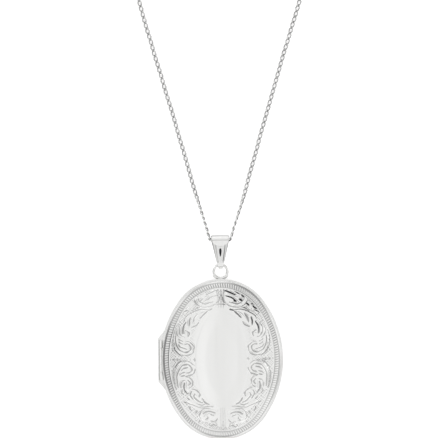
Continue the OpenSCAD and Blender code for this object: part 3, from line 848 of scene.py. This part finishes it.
# ---------------------------------------------------------------- bail and the saddle of its ring
# In mm, seen from the side (y, z): the strap bends round the eye for the ring and the roll for the chain.
EYE_AT, EYE_RADIUS = np.array([23.05, 2.6]), 0.85
ROLL_AT, ROLL_RADIUS = np.array([28.75, 1.65]), 1.375
STRAP = 0.175  # half the strap's thickness
BAIL_Y = [22.0, 22.5, 23.1, 23.9, 28.8, 30.3]
BAIL_HALF_WIDTH = [0.4, 0.6, 0.78, 1.0, 2.12, 2.2]
DISH_DEPTH, EDGE_DEPTH, BULGE_HEIGHT = 0.16, 0.12, 0.06
RECESS_FROM, RECESS_TO, RECESS_WIDTH, RECESS_DEPTH = 25.1, 27.1, 0.42, 0.17
RING_Y, RING_Z, RING_OUTSIDE = 21.45, 2.55, 1.93


def bail_path():
    """The strap's middle line, once round: up the front, over the roll, down the back and round the eye.

    Each row is a point, its outward normal, 1 on the front, and how far up into the roll it is."""
    gap = ROLL_AT - EYE_AT
    heading = math.atan2(gap[1], gap[0])
    lean = math.acos((EYE_RADIUS - ROLL_RADIUS) / np.hypot(*gap))
    front, back = heading + lean, heading - lean
    path = []

    def straight(angle, start, end, count, is_front):
        out = np.array([math.cos(angle), math.sin(angle)])
        start, end = start[0] + start[1] * out, end[0] + end[1] * out
        path.extend((start + t * (end - start), out, is_front, 0) for t in np.linspace(0, 1, count)[:-1])

    def round_bend(middle, radius, start, end, count, is_roll):
        for t in np.linspace(0, 1, count)[:-1]:
            angle = start + t * (end - start)
            out = np.array([math.cos(angle), math.sin(angle)])
            path.append((middle + radius * out, out, 0, is_roll * math.sin(math.pi * t)))

    eye, roll = (EYE_AT, EYE_RADIUS), (ROLL_AT, ROLL_RADIUS)
    straight(front, eye, roll, 74, 1)
    round_bend(*roll, front, back, 34, 1)
    straight(back, roll, eye, 16, 0)
    round_bend(*eye, back, front - 2 * math.pi, 22, 0)
    return path


def bail_face(y, half, side, front, roll):
    """How far the strap's outer face stands above its middle line, and its painted shade, across its width.
    """
    dish = front * rise(y, 23.2, 24.2) * (1 - rise(y + 0.9 * (1 - side ** 2), 28.3, 28.7))
    share = np.clip((y - RECESS_FROM) / (RECESS_TO - RECESS_FROM), 0, 1)
    drop = RECESS_WIDTH * math.sqrt(share * (1 - share ** 4)) + 1e-4
    recess = front * (1 - rise(side * half / drop, 0.75, 1.0)) * (0 < share < 1)
    lift = STRAP + dish * DISH_DEPTH * (rise(side, 0.5, 0.8) - 1) - EDGE_DEPTH * rise(side, 0.9, 1.0)
    lift += BULGE_HEIGHT * roll * (1 - side ** 2) - RECESS_DEPTH * recess
    shade = dish * (0.1 + 0.12 * rise(side, 0.45, 0.8))
    shade += 0.3 * dish * rise(side, 0.48, 0.56) * (1 - rise(side, 0.62, 0.7))
    shade += 0.25 * rise(roll, 0.02, 0.12) * (1 - rise(roll, 0.16, 0.3)) + 0.5 * rise(roll, 0.3, 1.0)
    return lift, np.clip(recess + shade + 0.3 * rise(side, 0.9, 1.0), 0, 1)


def make_bail():
    """A folded strap with raised, rounded sides, a dished front and a small drop-shaped recess."""
    path = bail_path()
    across = np.concatenate([[-1, -0.985], np.linspace(-0.95, 0.95, 79), [0.985, 1]])
    outer, inner, marks = [], [], []
    for at, out, front, roll in path:
        half = np.interp(at[0], BAIL_Y, BAIL_HALF_WIDTH)
        lift, mark = bail_face(at[0], half, np.abs(across), front, roll)
        marks.append(mark)
        for share, height in zip(across, lift):
            outer.append((share * half, *(at + out * height)))
            inner.append((share * half, *(at - out * STRAP)))
    rows, columns = len(path), len(across)
    faces = []
    for i in range(rows):
        a, b = i * columns, (i + 1) % rows * columns
        a_in, b_in = rows * columns + a, rows * columns + b
        for j in range(columns - 1):
            faces.append((a + j, a + j + 1, b + j + 1, b + j))
            faces.append((a_in + j + 1, a_in + j, b_in + j, b_in + j + 1))
        last = columns - 1
        faces.append((a, b, b_in, a_in))
        faces.append((a_in + last, b_in + last, b + last, a + last))
    made = add_mesh("bail_strap", np.array(outer + inner) * MM, faces, "bail", ["bail"])
    # Painted shade on the strap: its outer face from bail_face, its whole inner face half dark.
    mark_darkening(made, list(np.array(marks).ravel()) + [0.5] * (rows * columns))
    return paint(made, ENGRAVED)


def make_saddle():
    """The bead of solder and the small curved foot that hold the ring on the back's rim."""
    around, steps = 14, 40
    points = []
    for i in range(steps + 1):
        t = i / steps
        angle = math.radians(-152 + 124 * t)
        from_middle = abs(2 * t - 1)
        thick = 0.16 + 0.26 * from_middle ** 2 - 0.756 * max(from_middle - 0.86, 0)
        reach = RING_OUTSIDE + 0.04 * math.cos(9 * t)
        out = np.array([math.cos(angle), math.sin(angle), 0])
        centre = np.array([0, RING_Y, RING_Z]) + reach * out
        for j in range(around):
            b = 2 * math.pi * j / around
            points.append(centre + thick * (math.cos(b) * out + 1.25 * math.sin(b) * UP))
    faces = tube_faces(steps + 1, around)
    made = add_mesh("ring_saddle", np.array(points) * MM, faces, "case")
    return paint(made, POLISHED)


# ---------------------------------------------------------------- beaded edges of the photo frames
def make_beading(name, body, edge_inset, z, radius):
    """A milgrain edge: one wire round the oval, rolled into a row of beads."""
    around, beads, per_bead = 8, 210, 8
    angles = even_angles(beads * per_bead)
    x, y = outline(angles, edge_inset)
    swell = radius * (0.62 + 0.38 * np.abs(np.cos(math.pi * np.arange(len(angles)) / per_bead)))
    points = []
    for j in range(around):
        b = 2 * math.pi * j / around
        out, up = swell * math.cos(b), swell * math.sin(b)
        points.append(np.stack([x + out * np.cos(angles), y + out * np.sin(angles), z + up], -1))
    points = np.concatenate(points + points[:1])
    made = add_mesh(name, points * MM, grid_faces(around + 1, len(angles)), body)
    return paint(made, SATIN)


# ---------------------------------------------------------------- photo cards and their windows
def make_plate(name, body, node, edge_inset, back_z, front_z, bow, material):
    """A thin oval sheet with a rounded edge, its front bowed a little; the edge is marked for its tone."""
    angles = even_angles(240)
    edge_x, edge_y = outline(angles, edge_inset)
    shares = np.linspace(0.03, 0.985, 30)
    thick = front_z - back_z
    rings = [(share, back_z) for share in shares]
    rings += [(0.997, back_z + 0.25 * thick), (1, back_z + 0.5 * thick), (0.997, back_z + 0.75 * thick)]
    rings += [(share, front_z + bow * (1 - share ** 2)) for share in shares[::-1]]
    columns = len(angles)
    points = [np.stack([share * edge_x, share * edge_y, np.full(columns, z)], -1) for share, z in rings]
    middles = [[0, 0, back_z], [0, 0, front_z + bow]]
    back_middle = len(rings) * columns
    faces = grid_faces(len(rings), columns)
    faces += [(j, back_middle, (j + 1) % columns) for j in range(columns)]
    faces += fan_faces(len(rings), columns, back_middle + 1)
    if front_z > back_z:
        faces = [face[::-1] for face in faces]
    made = add_mesh(name, np.vstack(points + [middles]) * MM, faces, body, [node])
    toned = [rise(share, 0.8, 0.98) for share, _ in rings]
    mark_darkening(made, np.append(np.repeat(toned, columns), [0, 0]))
    return paint(made, material)


def make_pictures():
    """The cards and windows of both halves."""
    make_plate("back_card", "case", "back_photo_card", 1.41, 2.75, 2.95, 0, PAPER)
    make_plate("back_window_sheet", "case", "back_window", 1.41, 2.97, 3.15, 0.1, WINDOW)
    make_plate("cover_card", "cover", "cover_photo_card", 1.96, 4.25, 4.05, 0, PAPER)
    make_plate(
        "cover_window_sheet", "cover", "cover_window", 1.96, 4.03, 3.85, -0.1, WINDOW,
    )


# ---------------------------------------------------------------- spring of the clasp's bolt
# In mm and degrees round the clasp.
CLASP_AT, CLASP_RADIUS = np.array([1, 106.6, 0.7]), 2.3
SPRING_FROM, SPRING_TO, SPRING_TURNS = 141.5, 218.5, 7
SPRING_RADIUS, SPRING_WIRE = 0.3, 0.04


def make_spring():
    """A fine coil in the curve of the tube."""
    around, per_turn = 6, 14
    steps = SPRING_TURNS * per_turn
    t = np.linspace(0, 1, steps + 1)
    arc = np.radians(SPRING_FROM + (SPRING_TO - SPRING_FROM) * t)
    turn = 2 * math.pi * SPRING_TURNS * t
    out = np.stack([np.cos(arc), np.sin(arc), 0 * arc], -1)
    lean = np.cos(turn)[:, None] * out + np.sin(turn)[:, None] * UP
    line = CLASP_AT + CLASP_RADIUS * out + SPRING_RADIUS * lean
    heading = np.gradient(line, axis=0)
    heading /= np.linalg.norm(heading, axis=1)[:, None]
    side = np.cross(heading, lean)
    rings = []
    for j in range(around):
        b = 2 * math.pi * j / around
        rings.append(line + SPRING_WIRE * (math.cos(b) * lean + math.sin(b) * side))
    points = np.stack(rings, 1).reshape(-1, 3)
    faces = tube_faces(steps + 1, around)
    made = add_mesh("bolt_spring_coil", points * MM, faces, None, ["clasp_spring"])
    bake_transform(made)
    return paint(made, STEEL)


# ---------------------------------------------------------------- floor, world and lights
FLOOR_HALF, FLOOR_Z = 1.5, -0.02 * MM
WORLD_STRENGTH = 3
# Height of the direction (0 at the horizon, 1 straight up) and how bright the studio is there.
WORLD_STOPS = [(0.0, 0.55), (0.2, 0.52), (0.42, 0.35), (0.8, 0.335), (1.0, 0.33)]
# Bands across the ceiling from left (0) to right (1): one paler strip just left of the middle.
CEILING_BANDS = [(0.3, 0.92), (0.4, 1.0), (0.46, 1.0), (0.5, 0.93), (0.6, 0.92), (0.72, 0.96)]
# Azimuth, elevation and half-size in degrees, and what share of the light is left.
GREY_CARDS = [
    (52, 30, 24, 0.35), (180, 22, 24, 0.3), (265, 24, 20, 0.5), (345, 15, 14, 0.15), (120, 20, 14, 0.3),
]


def make_floor():
    corners = [(x * FLOOR_HALF, y * FLOOR_HALF, FLOOR_Z) for x, y in ((-1, -1), (1, -1), (1, 1), (-1, 1))]
    floor = add_mesh("floor", corners, [(0, 1, 2, 3)], smooth=False)
    paint(floor, opal_table())


def make_world():
    """A white studio with a softer ceiling and a few grey cards, which the silver mirrors."""
    world = bpy.data.worlds.new("studio")
    bpy.context.scene.world = world
    world.use_nodes = True
    nodes, links = world.node_tree.nodes, world.node_tree.links
    direction = nodes.new("ShaderNodeTexCoord").outputs["Generated"]
    split = nodes.new("ShaderNodeSeparateXYZ")
    links.new(direction, split.inputs["Vector"])
    shade = ramp(nodes, links, split.outputs["Z"], WORLD_STOPS)
    for azimuth, elevation, reach, left in GREY_CARDS:
        a, e = math.radians(azimuth), math.radians(elevation)
        middle = (math.cos(a) * math.cos(e), math.sin(a) * math.cos(e), math.sin(e))
        towards = pointing(nodes, links, direction, middle)
        edge = math.cos(math.radians(reach))
        card_shade = ramp(nodes, links, towards, [(edge - 0.03, 1.0), (edge + 0.04, left)])
        shade = multiply(nodes, links, shade, card_shade)
    sideways = nodes.new("ShaderNodeMapRange")
    sideways.inputs["From Min"].default_value = -1
    links.new(split.outputs["X"], sideways.inputs["Value"])
    shade = multiply(nodes, links, shade, ramp(nodes, links, sideways.outputs["Result"], CEILING_BANDS))
    links.new(shade, nodes["Background"].inputs["Color"])
    nodes["Background"].inputs["Strength"].default_value = WORLD_STRENGTH


# ---------------------------------------------------------------- the scene
make_camera()
make_cover()
make_bail()
make_saddle()
make_beading("back_frame_beads", "case", 2.16, 3.39, 0.1)
make_beading("cover_frame_beads", "cover", 2.76, 3.61, 0.09)
make_pictures()
make_cords(make_spring())
make_floor()
make_world()
bpy.context.scene.view_settings.view_transform = "Standard"
